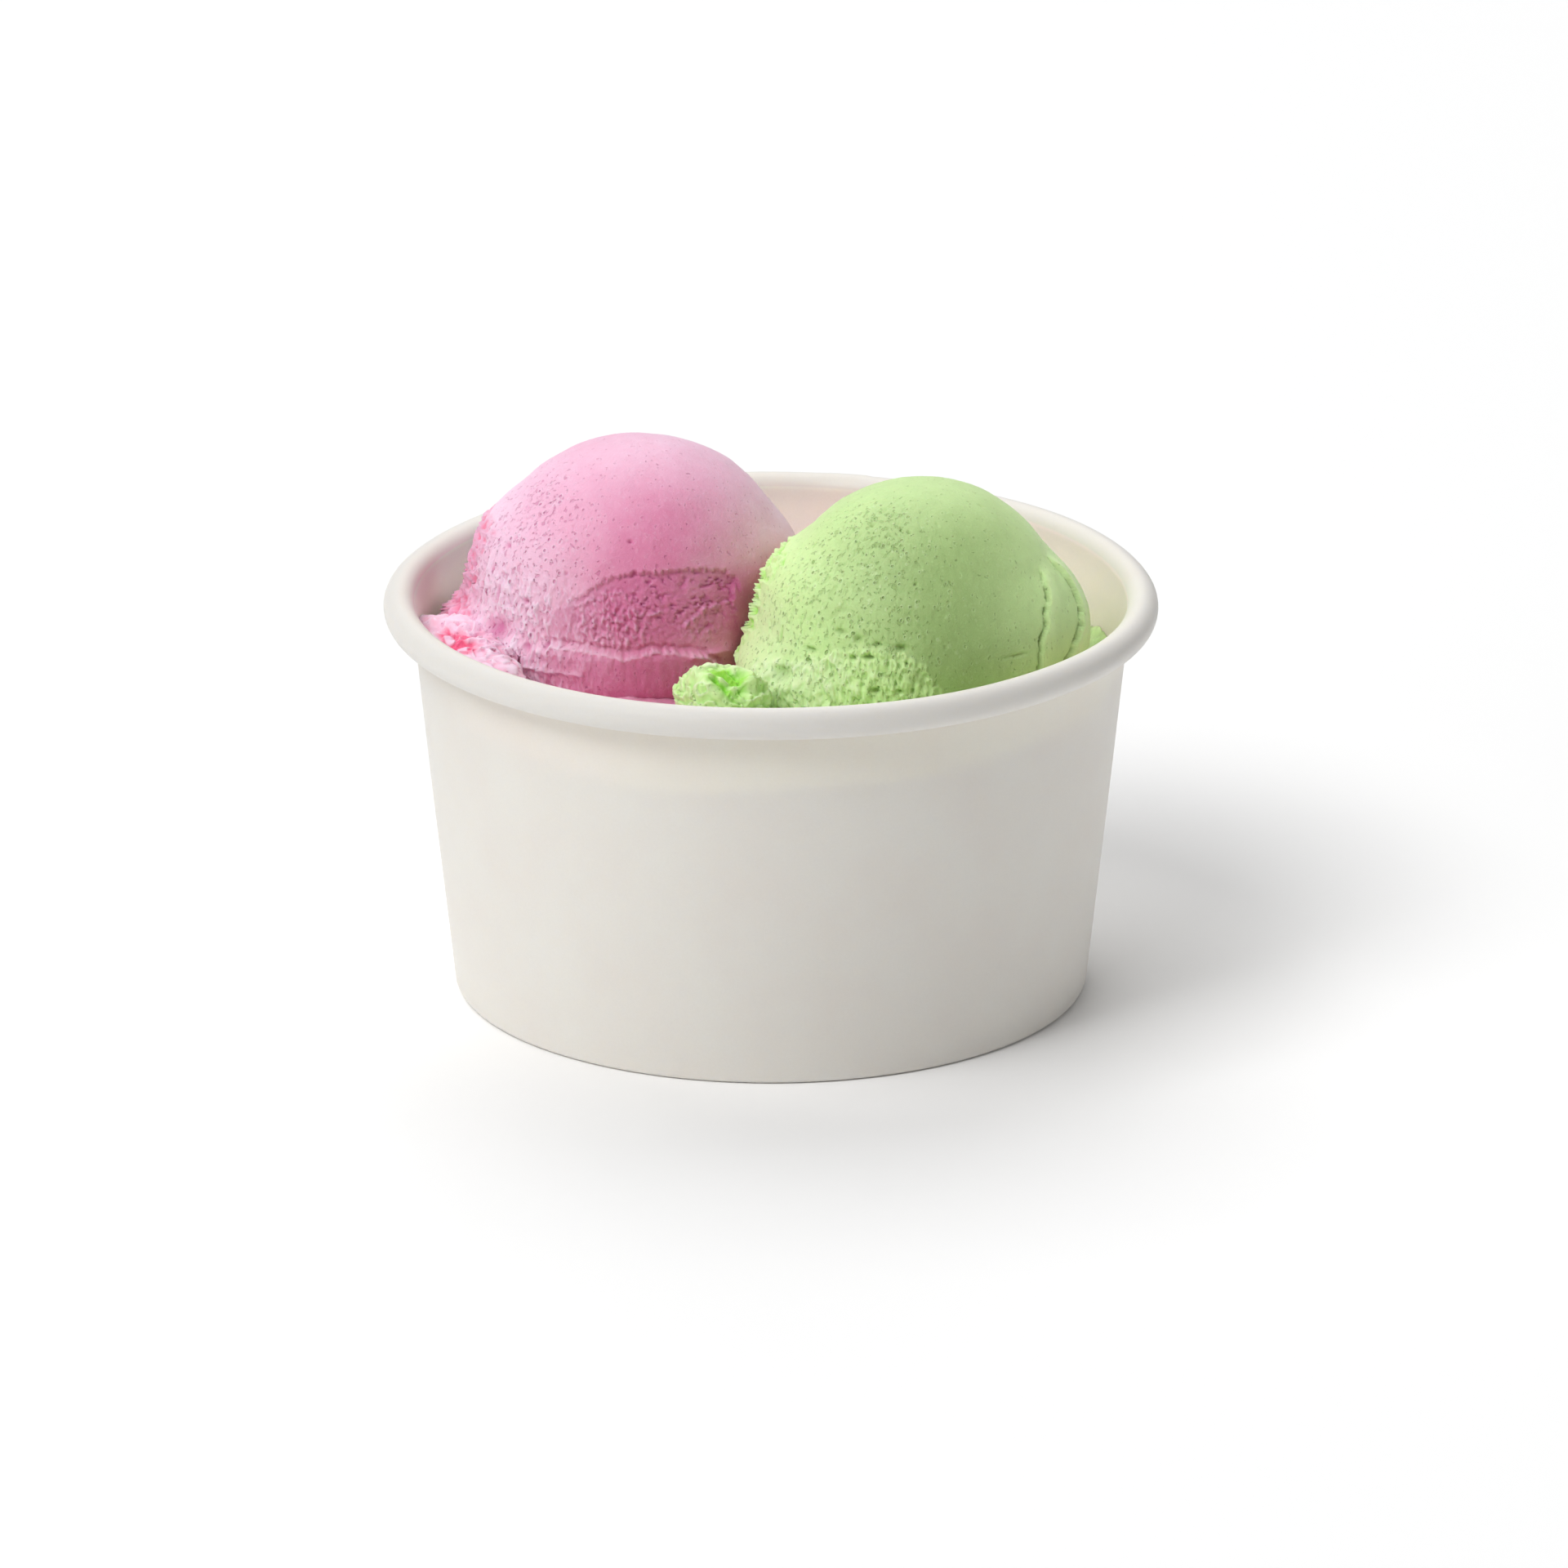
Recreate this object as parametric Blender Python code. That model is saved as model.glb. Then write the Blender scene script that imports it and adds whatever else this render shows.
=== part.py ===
"""A paper gelato cup with two flavours of gelato, one scoop standing proud of each.

The cup stands on its foot at z = 0 with its axis on +Z. Its front is -Y.
Run it with: blender --background --python part.py
"""

import math

import bmesh
import bpy
import numpy as np

MM = 0.001
DEGREE = math.pi / 180

# Paper cup: one board rolled outwards at the rim and folded into a hem at the foot.
CUP_HEIGHT = 51.0 * MM
RIM_RADIUS = 48.0 * MM
ROLL_RADIUS = 1.95 * MM
ROLL_TURN = 292 * DEGREE
FOOT_RADIUS = 39.3 * MM
WALL_TOP_RADIUS = 44.7 * MM
BOARD = 0.5 * MM
HEM_THICKNESS = 2.0 * MM
HEM_HEIGHT = 5.6 * MM
TURN_STEPS = 48

# Bottom disc: recessed, with a skirt that stands in the hem.
BASE_TOP = 7.0 * MM
SKIRT_BOARD = 0.4 * MM
SKIRT_BOTTOM = 0.8 * MM
GAP = 0.3 * MM

# Gelato: the two flavours share the cup up to the bed, along a seam, and a scoop stands in each.
WALL_GAP = 0.4 * MM
BED_LEVEL = 41.0 * MM
BED_WAVE = 0.6 * MM
SEAM_NORMAL = -24.6 * DEGREE
SEAM_DISTANCE = 1.6 * MM
SEAM_BOW = 2.4 * MM
SEAM_BOW_SPAN = 16.0 * MM
SEAM_DIP = 1.0 * MM
AZIMUTHS = 60
BALL_ROWS = 15
BED_ROWS = 7
SIDE_ROWS = 3

# Directions from a scoop's centre are an azimuth from +X and an elevation.
# Each flare is (azimuth, width, elevation where it starts, elevation where it is full, depth).
# A scrape is (azimuth, half width, top elevation, depth).
# Each lump is (x, y, top, half length, half width, turn), a raised patch of the bed.
SCOOPS = {
    "scoop_strawberry": {
        "side": -1,
        "centre": (-16.4 * MM, 7.5 * MM, 47.5 * MM),
        "radius": 20.0 * MM,
        "flares": [
            (180 * DEGREE, 1.0, 46 * DEGREE, 22 * DEGREE, 1.4 * MM),
            (180 * DEGREE, 0.7, 5 * DEGREE, -8 * DEGREE, 2.2 * MM),
            (0 * DEGREE, 0.7, 33 * DEGREE, 24 * DEGREE, 0.8 * MM),
            (-95 * DEGREE, 0.8, -1 * DEGREE, -4 * DEGREE, 1.0 * MM),
        ],
        "scrape": (-79 * DEGREE, 37 * DEGREE, 27 * DEGREE, 1.1 * MM),
        "lumps": [(-38.0 * MM, -3.0 * MM, 46.6 * MM, 11.0 * MM, 7.0 * MM, 100 * DEGREE)],
        "colour": (0.80, 0.34, 0.52, 1.0),
    },
    "scoop_pistachio": {
        "side": 1,
        "centre": (18.4 * MM, -8.0 * MM, 48.8 * MM),
        "radius": 18.1 * MM,
        "flares": [
            (180 * DEGREE, 1.0, 42 * DEGREE, 16 * DEGREE, 2.4 * MM),
            (180 * DEGREE, 0.8, 6 * DEGREE, -10 * DEGREE, 2.3 * MM),
            (0 * DEGREE, 0.8, 33 * DEGREE, 10 * DEGREE, 2.2 * MM),
            (-95 * DEGREE, 0.9, 20 * DEGREE, -5 * DEGREE, 0.9 * MM),
        ],
        "scrape": None,
        "lumps": [
            (-4.5 * MM, -24.0 * MM, 49.0 * MM, 9.5 * MM, 5.5 * MM, 28 * DEGREE),
            (40.0 * MM, -9.0 * MM, 47.4 * MM, 6.0 * MM, 5.0 * MM, 80 * DEGREE),
        ],
        "colour": (0.55, 0.74, 0.33, 1.0),
    },
}


def clear_scene():
    for old in list(bpy.data.objects):
        bpy.data.objects.remove(old)


def finish(name, colour, roughness):
    """A Principled material."""
    material = bpy.data.materials.new(name)
    material.use_nodes = True
    shader = material.node_tree.nodes["Principled BSDF"]
    shader.inputs["Base Color"].default_value = colour
    shader.inputs["Roughness"].default_value = roughness
    shader.inputs["Metallic"].default_value = 0.0
    return material


def add_object(name, mesh, material):
    mesh.materials.append(material)
    mesh.shade_smooth()
    mesh.set_sharp_from_angle(angle=50 * DEGREE)
    added = bpy.data.objects.new(name, mesh)
    bpy.context.scene.collection.objects.link(added)
    return added


def turned(name, profile):
    """A mesh turned about Z from a closed profile of (radius, height) points."""
    mesh = bpy.data.meshes.new(name)
    shape = bmesh.new()
    ring = [shape.verts.new((radius, 0.0, height)) for radius, height in profile]
    edges = [shape.edges.new(pair) for pair in zip(ring, ring[1:] + ring[:1])]
    bmesh.ops.spin(
        shape,
        geom=ring + edges,
        cent=(0, 0, 0),
        axis=(0, 0, 1),
        angle=2 * math.pi,
        steps=TURN_STEPS,
        use_merge=False,
    )
    bmesh.ops.remove_doubles(shape, verts=shape.verts, dist=0.01 * MM)
    loose = [edge for edge in shape.edges if not edge.link_faces]
    bmesh.ops.delete(shape, geom=loose, context="EDGES")
    bmesh.ops.dissolve_degenerate(shape, dist=0.001 * MM, edges=shape.edges)
    bmesh.ops.recalc_face_normals(shape, faces=shape.faces)
    shape.to_mesh(mesh)
    shape.free()
    return mesh


# The paper cup


def wall_radius(height):
    """The outside radius of the wall at a height, which grows evenly from the foot to the roll."""
    share = height / (CUP_HEIGHT - ROLL_RADIUS)
    return FOOT_RADIUS + (WALL_TOP_RADIUS - FOOT_RADIUS) * share


def ribbon(centreline, thickness):
    """The closed outline of a board that follows a centreline, with mitred corners."""
    line = np.array(centreline)
    along = np.diff(line, axis=0)
    along /= np.linalg.norm(along, axis=1)[:, None]
    across = np.stack([-along[:, 1], along[:, 0]], axis=1)
    before = np.vstack([across[:1], across])
    after = np.vstack([across, across[-1:]])
    mitre = before + after
    mitre /= (1 + (before * after).sum(axis=1))[:, None]
    left = line + mitre * thickness / 2
    right = line - mitre * thickness / 2
    return np.vstack([left, right[::-1]]).tolist()


def cup_wall_profile():
    """From the end of the hem, under the foot, up the wall and round the roll."""
    half = BOARD / 2
    inner = FOOT_RADIUS - HEM_THICKNESS + half
    outer = FOOT_RADIUS - half
    corner = 0.45 * MM
    slope = (WALL_TOP_RADIUS - FOOT_RADIUS) / (CUP_HEIGHT - ROLL_RADIUS)
    line = [
        (inner + slope * HEM_HEIGHT, HEM_HEIGHT),
        (inner + slope * corner, half + corner),
        (inner + corner, half),
        (outer - corner, half),
        (outer + slope * corner, half + corner),
    ]
    for height in (17 * MM, 33 * MM):
        line.append((wall_radius(height) - half, height))
    roll_centre = (RIM_RADIUS - ROLL_RADIUS, CUP_HEIGHT - ROLL_RADIUS)
    curl = ROLL_RADIUS - half
    for turn in np.linspace(0, ROLL_TURN, 11):
        angle = math.pi - turn
        line.append(
            (
                roll_centre[0] + curl * math.cos(angle),
                roll_centre[1] + curl * math.sin(angle),
            )
        )
    return ribbon(line, BOARD)


def make_cup_wall(paper):
    mesh = turned("cup_wall", cup_wall_profile())
    return add_object("cup_wall", mesh, paper)


def make_cup_base(paper):
    """The bottom disc and the skirt that stands between the wall and the hem's fold."""
    outside = BOARD + GAP
    inside = outside + SKIRT_BOARD
    profile = [
        (0.0, BASE_TOP),
        (wall_radius(BASE_TOP) - outside, BASE_TOP),
        (wall_radius(SKIRT_BOTTOM) - outside, SKIRT_BOTTOM),
        (wall_radius(SKIRT_BOTTOM) - inside, SKIRT_BOTTOM),
        (wall_radius(BASE_TOP - BOARD) - inside, BASE_TOP - BOARD),
        (0.0, BASE_TOP - BOARD),
    ]
    mesh = turned("cup_base", profile)
    return add_object("cup_base", mesh, paper)


# The gelato


def ease(value, start, end):
    """0 before start, 1 after end, and a smooth rise between. start may be the larger."""
    share = np.clip((value - start) / (end - start), 0, 1)
    return share * share * (3 - 2 * share)


def hump(angle, centre, width):
    """1 at the centre, fading away over the width, on angles that wrap round."""
    away = (angle - centre + math.pi) % (2 * math.pi) - math.pi
    return np.exp(-((away / width) ** 2))


def smaller(first, second, blend):
    """The smaller of two lengths, rounded where they cross."""
    mix = np.clip(0.5 + (second - first) / (2 * blend), 0, 1)
    return second + (first - second) * mix - blend * mix * (1 - mix)


def seam_distance(x, y):
    """How far a point lies beyond the seam, on the pistachio side. The seam bows at the front."""
    nx, ny = math.cos(SEAM_NORMAL), math.sin(SEAM_NORMAL)
    along = y * nx - x * ny
    bow = SEAM_BOW * ease(-along, 0, SEAM_BOW_SPAN)
    return x * nx + y * ny - SEAM_DISTANCE + bow


def reach(scoop, azimuth, height):
    """How far from a scoop's axis its flavour runs: to the cup's wall or to the seam."""
    x, y, _ = scoop["centre"]
    dx, dy = np.cos(azimuth), np.sin(azimuth)
    inside = wall_radius(height) - BOARD - WALL_GAP
    towards = x * dx + y * dy
    to_wall = -towards + np.sqrt(towards**2 - x * x - y * y + inside**2)
    near = np.zeros_like(to_wall)
    far = to_wall.copy()
    for _ in range(26):
        middle = (near + far) / 2
        beyond = scoop["side"] * seam_distance(x + middle * dx, y + middle * dy)
        clear = beyond > GAP / 2
        near = np.where(clear, middle, near)
        far = np.where(clear, far, middle)
    return near


def ball_radius(scoop, azimuth, elevation):
    """The scoop's radius in a direction: a ball with flared sides, and the scrape on its front."""
    radius = scoop["radius"] + 0 * azimuth * elevation
    for centre, width, start, full, depth in scoop["flares"]:
        radius = radius + depth * hump(azimuth, centre, width) * ease(elevation, start, full)
    if scoop["scrape"] is None:
        return radius
    centre, half_width, top, depth = scoop["scrape"]
    away = (azimuth - centre) / half_width
    brow = top * (1 - away**2 / 2)
    below_brow = ease(elevation, brow + 3 * DEGREE, brow - 3 * DEGREE)
    above_foot = ease(elevation, -3 * DEGREE, 8 * DEGREE)
    return radius - depth * below_brow * above_foot * ease(np.abs(away), 1.1, 0.88)


def bed_height(scoop, x, y):
    """The height of a flavour's bed: a low wave, its lumps, and a dip along the seam."""
    wave = np.sin(x / (6.5 * MM) + 0.8) * np.cos(y / (7.5 * MM) - 0.4)
    height = BED_LEVEL + BED_WAVE * wave
    for lump_x, lump_y, top, length, width, turn in scoop["lumps"]:
        along = (x - lump_x) * math.cos(turn) + (y - lump_y) * math.sin(turn)
        across = (y - lump_y) * math.cos(turn) - (x - lump_x) * math.sin(turn)
        away = np.sqrt((along / length) ** 2 + (across / width) ** 2)
        height = height + (top - height) * ease(away, 1.35, 0.5)
    from_seam = np.abs(seam_distance(x, y))
    return height - SEAM_DIP * ease(from_seam, 2.2 * MM, 0.0)


def scoop_profiles(scoop, azimuth):
    """Radius and height of a closed outline at each azimuth, from the top pole to the bottom one.

    It runs down the ball to the bed, out over the bed, down the wall or the seam, and in
    along the floor.
    """
    cx, cy, cz = scoop["centre"]
    dx, dy = np.cos(azimuth), np.sin(azimuth)
    edge = reach(scoop, azimuth, BED_LEVEL + 0 * azimuth)

    def ball_at(elevation):
        ball = ball_radius(scoop, azimuth, elevation)
        out = smaller(ball * np.cos(elevation), edge - 0.3 * MM, 0.6 * MM)
        return out, cz + ball * np.sin(elevation)

    def over_bed(out):
        return bed_height(scoop, cx + out * dx, cy + out * dy)

    high = np.zeros_like(azimuth) + 60 * DEGREE
    low = np.zeros_like(azimuth) - 32 * DEGREE
    for _ in range(24):
        middle = (high + low) / 2
        out, up = ball_at(middle)
        buried = up < over_bed(out)
        low = np.where(buried, middle, low)
        high = np.where(buried, high, middle)

    share = np.linspace(0, 1, BALL_ROWS)[:, None] ** 0.85
    ball_out, ball_up = ball_at(math.pi / 2 + (high - math.pi / 2) * share)
    ball_out[0] = 0.0

    share = np.linspace(0, 1, BED_ROWS + 1)[1:, None]
    bed_out = ball_out[-1] + (edge - ball_out[-1]) * share
    bed_up = over_bed(bed_out)

    floor = BASE_TOP + GAP
    share = np.linspace(0, 1, SIDE_ROWS + 1)[1:, None]
    side_up = bed_up[-1] + (floor - bed_up[-1]) * share
    side_out = np.minimum(reach(scoop, azimuth, side_up), edge)
    out = np.vstack([ball_out, bed_out, side_out, 0 * side_out[-1:]])
    up = np.vstack([ball_up, bed_up, side_up, side_up[-1:]])
    return out, up


def closed_mesh(name, points):
    """A closed mesh from rings of points (row, column, xyz) whose first and last rows are single poles."""
    rows, columns = points.shape[:2]
    middle = points[1:-1].reshape(-1, 3)
    vertices = np.vstack([points[0, :1], middle, points[-1, :1]])
    last = len(vertices) - 1

    def index(row, column):
        return 1 + (row - 1) * columns + column % columns

    faces = [(0, index(1, c), index(1, c + 1)) for c in range(columns)]
    for row in range(1, rows - 2):
        for c in range(columns):
            below = (index(row + 1, c), index(row + 1, c + 1))
            faces.append((index(row, c), *below, index(row, c + 1)))
    faces += [(index(rows - 2, c), last, index(rows - 2, c + 1)) for c in range(columns)]
    mesh = bpy.data.meshes.new(name)
    mesh.from_pydata(vertices.tolist(), [], faces)
    return mesh


def scoop_azimuths(scoop):
    """Even azimuths, and one at each corner where the seam meets the cup's wall."""
    fine = np.linspace(-math.pi, math.pi, 3601)[:-1]
    edge = reach(scoop, fine, BED_LEVEL + 0 * fine)
    x = scoop["centre"][0] + edge * np.cos(fine)
    y = scoop["centre"][1] + edge * np.sin(fine)
    at_wall = np.hypot(x, y) > wall_radius(BED_LEVEL) - BOARD - WALL_GAP - 0.01 * MM
    corners = fine[at_wall != np.roll(at_wall, 1)]
    even = np.linspace(-math.pi, math.pi, AZIMUTHS + 1)[:-1]
    for corner in corners:
        even = even[np.abs(even - corner) > 0.03]
    return np.sort(np.append(even, corners))


def make_scoop(name, scoop):
    azimuth = scoop_azimuths(scoop)
    out, up = scoop_profiles(scoop, azimuth)
    x, y, _ = scoop["centre"]
    points = np.stack([x + out * np.cos(azimuth), y + out * np.sin(azimuth), up], axis=-1)
    material = finish(name, scoop["colour"], 0.55)
    return add_object(name, closed_mesh(name, points), material)


def main():
    clear_scene()
    paper = finish("paper", (0.84, 0.82, 0.78, 1.0), 0.6)
    make_cup_wall(paper)
    make_cup_base(paper)
    for name, scoop in SCOOPS.items():
        make_scoop(name, scoop)


main()
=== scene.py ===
"""A paper gelato cup holding a strawberry scoop and a pistachio scoop, finished to be seen.

Lengths are in millimetres until a mesh is made, and angles are in degrees. A direction from
a scoop's centre is an azimuth from +X and an elevation. The front is -Y.
"""

import math

import bpy
import numpy as np
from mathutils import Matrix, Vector


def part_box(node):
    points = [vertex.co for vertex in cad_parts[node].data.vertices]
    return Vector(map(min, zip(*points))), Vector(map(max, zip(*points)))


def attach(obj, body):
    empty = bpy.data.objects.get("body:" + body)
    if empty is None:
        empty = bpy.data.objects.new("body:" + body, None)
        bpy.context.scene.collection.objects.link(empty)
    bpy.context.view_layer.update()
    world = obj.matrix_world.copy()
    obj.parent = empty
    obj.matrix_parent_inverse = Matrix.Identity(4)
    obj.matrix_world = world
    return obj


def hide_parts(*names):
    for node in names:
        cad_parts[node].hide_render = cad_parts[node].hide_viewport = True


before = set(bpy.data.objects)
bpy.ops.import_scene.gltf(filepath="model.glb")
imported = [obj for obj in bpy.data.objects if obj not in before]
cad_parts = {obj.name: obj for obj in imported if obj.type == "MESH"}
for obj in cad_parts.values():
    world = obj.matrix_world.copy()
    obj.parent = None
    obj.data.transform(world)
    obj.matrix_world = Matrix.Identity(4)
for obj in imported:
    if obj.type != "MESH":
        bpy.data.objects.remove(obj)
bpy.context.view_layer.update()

MM = 0.001


def corner_mm(node, which):
    """The low (0) or high (1) corner of a CAD node's box."""
    return np.array(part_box(node)[which]) / MM


# The cup's sizes follow its CAD node.
RIM_RADIUS = corner_mm("cup_wall", 1)[0]
CUP_HEIGHT = corner_mm("cup_wall", 1)[2]
FOOT_RADIUS = 0.8187 * RIM_RADIUS
WALL_TOP_RADIUS = 0.9313 * RIM_RADIUS
ROLL_RADIUS = 1.95
ROLL_TURN = 292
ROLL_CENTRE = (RIM_RADIUS - ROLL_RADIUS, CUP_HEIGHT - ROLL_RADIUS)
WALL_SLOPE = (WALL_TOP_RADIUS - FOOT_RADIUS) / (CUP_HEIGHT - ROLL_RADIUS)
BOARD = 0.5
HEM_THICKNESS = 2.0
HEM_HEIGHT = 5.6
BASE_TOP = corner_mm("cup_base", 1)[2]
SKIRT_BOTTOM = corner_mm("cup_base", 0)[2]

# The gelato: a bed of each flavour, and a scoop standing in it. side tells its side of the seam.
BED_LEVEL = 41.0
WALL_GAP = 0.4
SEAM_NORMAL = -24.6
SEAM_DISTANCE = 1.6
SEAM_BOW = 2.4
SEAM_BOW_SPAN = 16.0

STRAWBERRY = {
    "node": "scoop_strawberry",
    "slot": "strawberry_gelato",
    "side": -1,
    "radius": 20.0,
    "centre": np.array([-16.4, 7.5, corner_mm("scoop_strawberry", 1)[2] - 20.0]),
}
PISTACHIO = {
    "node": "scoop_pistachio",
    "slot": "pistachio_gelato",
    "side": 1,
    "radius": 18.1,
    "centre": np.array([18.4, -8.0, corner_mm("scoop_pistachio", 1)[2] - 18.1]),
}

# Marks on a scoop are measured in millimetres on a ball of this radius, and DEGREE is a degree on it.
MARKED_BALL = 20.0
DEGREE = math.radians(1) * MARKED_BALL


# Small tools for shapes


def direction(azimuth, elevation):
    """Unit vectors (cos e cos a, cos e sin a, sin e) of azimuths and elevations."""
    around, up = np.radians(azimuth), np.radians(elevation)
    return np.stack([np.cos(up) * np.cos(around), np.cos(up) * np.sin(around), np.sin(up)], -1)


def ease(value, start, end):
    """0 before start, 1 after end, and 3t^2 - 2t^3 between. start may be the larger."""
    share = np.clip((value - start) / (end - start), 0, 1)
    return share * share * (3 - 2 * share)


def turned_away(angle, centre):
    """The signed angle from centre, from -180 to 180."""
    return (angle - centre + 180) % 360 - 180


def hump(angle, centre, width):
    """exp(-(d / width)^2), with d the angle from centre."""
    return np.exp(-((turned_away(angle, centre) / width) ** 2))


def spot(a, e, a0, e0, half_width, half_height):
    """exp(-d^2), with d the distance in millimetres from a direction over an ellipse's half sizes."""
    x = turned_away(a, a0) * DEGREE * np.cos(np.radians(e)) / half_width
    y = (e - e0) * DEGREE / half_height
    return np.exp(-(x * x + y * y))


def smaller(first, second, blend):
    """The smaller of two lengths, rounded where they cross."""
    mix = np.clip(0.5 + (second - first) / (2 * blend), 0, 1)
    return second + (first - second) * mix - blend * mix * (1 - mix)


def scrambled(cell, seed):
    """A number from 0 to 1 for each whole-number place, mixed from its bits."""
    key = cell[..., 0] * 73856093 ^ cell[..., 1] * 19349663 ^ cell[..., 2] * 83492791
    key = (key ^ seed * 2654435761) & 0xFFFFFFFF
    key = ((key ^ (key >> 15)) * 0x2C1B3C6D) & 0xFFFFFFFF
    key = ((key ^ (key >> 12)) * 0x297A2D39) & 0xFFFFFFFF
    return (key ^ (key >> 15)) / 0xFFFFFFFF


def drift(points, size, seed, layers=1):
    """Smooth noise from about -1 to 1: random slopes at the corners of cubes, blended between.

    Each further layer has half the size and half the height.
    """
    total = np.zeros(points.shape[:-1])
    for layer in range(layers):
        place = points * (2**layer / size) + 0.37 * seed
        cell = np.floor(place).astype(np.int64)
        part = place - cell
        blend = part**3 * (part * (6 * part - 15) + 10)
        for corner in np.ndindex(2, 2, 2):
            weight = np.prod(np.where(corner, blend, 1 - blend), axis=-1)
            for axis in range(3):
                slope = 2 * scrambled(cell + np.array(corner), 11 * seed + 3 * layer + axis) - 1
                total += weight * slope * (part[..., axis] - corner[axis]) * 1.6 * 0.5**layer
    return total


def dents(points, size, seed, small, large):
    """Round dents, 0 outside and 1 at the bottom: one in each cube, at a random place and size."""
    place = points / size
    cell = np.floor(place).astype(np.int64)
    deepest = np.zeros(points.shape[:-1])
    for corner in np.ndindex(3, 3, 3):
        near = cell + np.array(corner) - 1
        centre = near + np.stack([scrambled(near, seed + n) for n in range(3)], axis=-1)
        radius = small + (large - small) * scrambled(near, seed + 3) ** 2
        away = np.linalg.norm(place - centre, axis=-1) / radius
        deepest = np.maximum(deepest, ease(away, 1.0, 0.25))
    return deepest


def sharp_folds(points, size, seed, layers=2):
    """Creases from 0 to about 1: one less the size of smooth noise, so that its zero lines are ridges."""
    return 1 - np.clip(2.2 * np.abs(drift(points, size, seed, layers)), 0, 1)


def stroke(a, e, path):
    """How far each direction lies from a bent line of directions, in millimetres.

    It is the least distance to the line's straight parts, above 0 over the line and below 0 under it.
    The directions are laid flat, with azimuths shortened by the cosine of the line's mean elevation.
    """
    a0, e0 = np.mean(path, axis=0)
    across = DEGREE * math.cos(math.radians(e0))
    x, y = turned_away(a, a0) * across, (e - e0) * DEGREE
    nearest = np.full(np.shape(a), 1e3)
    for (start_a, start_e), (end_a, end_e) in zip(path, path[1:]):
        sx, sy = (start_a - a0) * across, (start_e - e0) * DEGREE
        dx, dy = (end_a - start_a) * across, (end_e - start_e) * DEGREE
        share = np.clip(((x - sx) * dx + (y - sy) * dy) / (dx * dx + dy * dy), 0, 1)
        away = np.hypot(x - sx - share * dx, y - sy - share * dy)
        over = np.where(dx * (y - sy) - dy * (x - sx) > 0, away, -away)
        nearest = np.where(away < np.abs(nearest), over, nearest)
    return nearest


def flake(distance, height, width, crisp=0.22):
    """A torn flake along a stroke: it rises slowly from below and ends in a crisp edge above."""
    return height * ease(distance, -width, 0.0) * ease(distance, crisp, 0.0)


# Meshes from grids


def grid_faces(rows, columns):
    """Four-sided faces of a grid that closes round its columns."""
    row = np.arange(rows - 1)[:, None] * columns
    column = np.arange(columns)[None, :]
    after = (column + 1) % columns
    faces = np.stack([row + column, row + columns + column, row + columns + after, row + after], -1)
    return faces.reshape(-1, 4)


def new_piece(name, vertices, faces, material, attributes):
    """A smooth mesh object from arrays in millimetres, with its attributes, that rides on the body.

    faces holds one array for each kind of face: the four-sided ones, then any triangles.
    """
    mesh = bpy.data.meshes.new(name)
    mesh.vertices.add(len(vertices))
    mesh.vertices.foreach_set("co", (vertices * MM).astype(np.float32).ravel())
    corners = np.concatenate([kind.ravel() for kind in faces])
    sizes = np.concatenate([np.full(len(kind), kind.shape[1]) for kind in faces])
    mesh.loops.add(len(corners))
    mesh.loops.foreach_set("vertex_index", corners.astype(np.int32))
    mesh.polygons.add(len(sizes))
    starts = np.concatenate([[0], np.cumsum(sizes)[:-1]])
    mesh.polygons.foreach_set("loop_start", starts.astype(np.int32))
    mesh.update(calc_edges=True)
    mesh.validate()
    for key, values in attributes.items():
        layer = mesh.attributes.new(key, "FLOAT", "POINT")
        layer.data.foreach_set("value", np.asarray(values, np.float32).ravel())
    mesh.shade_smooth()
    mesh.materials.append(material)
    piece = bpy.data.objects.new(name, mesh)
    bpy.context.scene.collection.objects.link(piece)
    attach(piece, "root")
    return piece


def poled(points, attributes):
    """Vertices, faces and attributes of a grid whose first and last rows are each one point."""
    rows, columns = points.shape[:2]
    inner = points[1:-1].reshape(-1, 3)
    vertices = np.vstack([points[0, :1], inner, points[-1, :1]])
    faces = grid_faces(rows - 2, columns) + 1
    column = np.arange(columns)
    after = (column + 1) % columns
    top = np.stack([np.zeros_like(column), column + 1, after + 1], -1)
    last = 1 + (rows - 3) * columns
    bottom = np.stack([last + column, np.full_like(column, len(vertices) - 1), last + after], -1)
    kept = {}
    for key, values in attributes.items():
        kept[key] = np.concatenate([values[0, :1], values[1:-1].ravel(), values[-1, :1]])
    return vertices, [faces, np.vstack([top, bottom])], kept


def sphere_grid(rows, columns):
    """Elevations and unit directions of a grid from the top pole to the bottom one."""
    elevation = np.linspace(90, -90, rows)[:, None]
    azimuth = np.linspace(-180, 180, columns + 1)[None, :-1]
    a, e = np.broadcast_arrays(azimuth, elevation)
    return e, direction(a, e)


# Shader maths


class Wire:
    """A socket in a material's tree, so that shader maths reads as arithmetic."""

    def __init__(self, finish, socket):
        self.finish = finish
        self.socket = socket

    def maths(self, operation, *values):
        """The result of one operation on two values or wires."""
        return self.finish.add("ShaderNodeMath", {"operation": operation}, values)

    def __add__(self, other):
        return self.maths("ADD", self, other)

    def __sub__(self, other):
        return self.maths("SUBTRACT", self, other)

    def __mul__(self, other):
        return self.maths("MULTIPLY", self, other)

    def __truediv__(self, other):
        return self.maths("DIVIDE", self, other)

    def __rsub__(self, other):
        return self.maths("SUBTRACT", other, self)

    __radd__ = __add__
    __rmul__ = __mul__

    def at_least(self, low):
        """The larger of this and low."""
        return self.maths("MAXIMUM", self, low)

    def clipped(self):
        """This, held between 0 and 1."""
        return self.finish.add("ShaderNodeClamp", {}, (self,))

    def spread(self, low, high):
        """0 at low, 1 at high, and straight between."""
        return ((self - low) * (1 / (high - low))).clipped()


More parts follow.
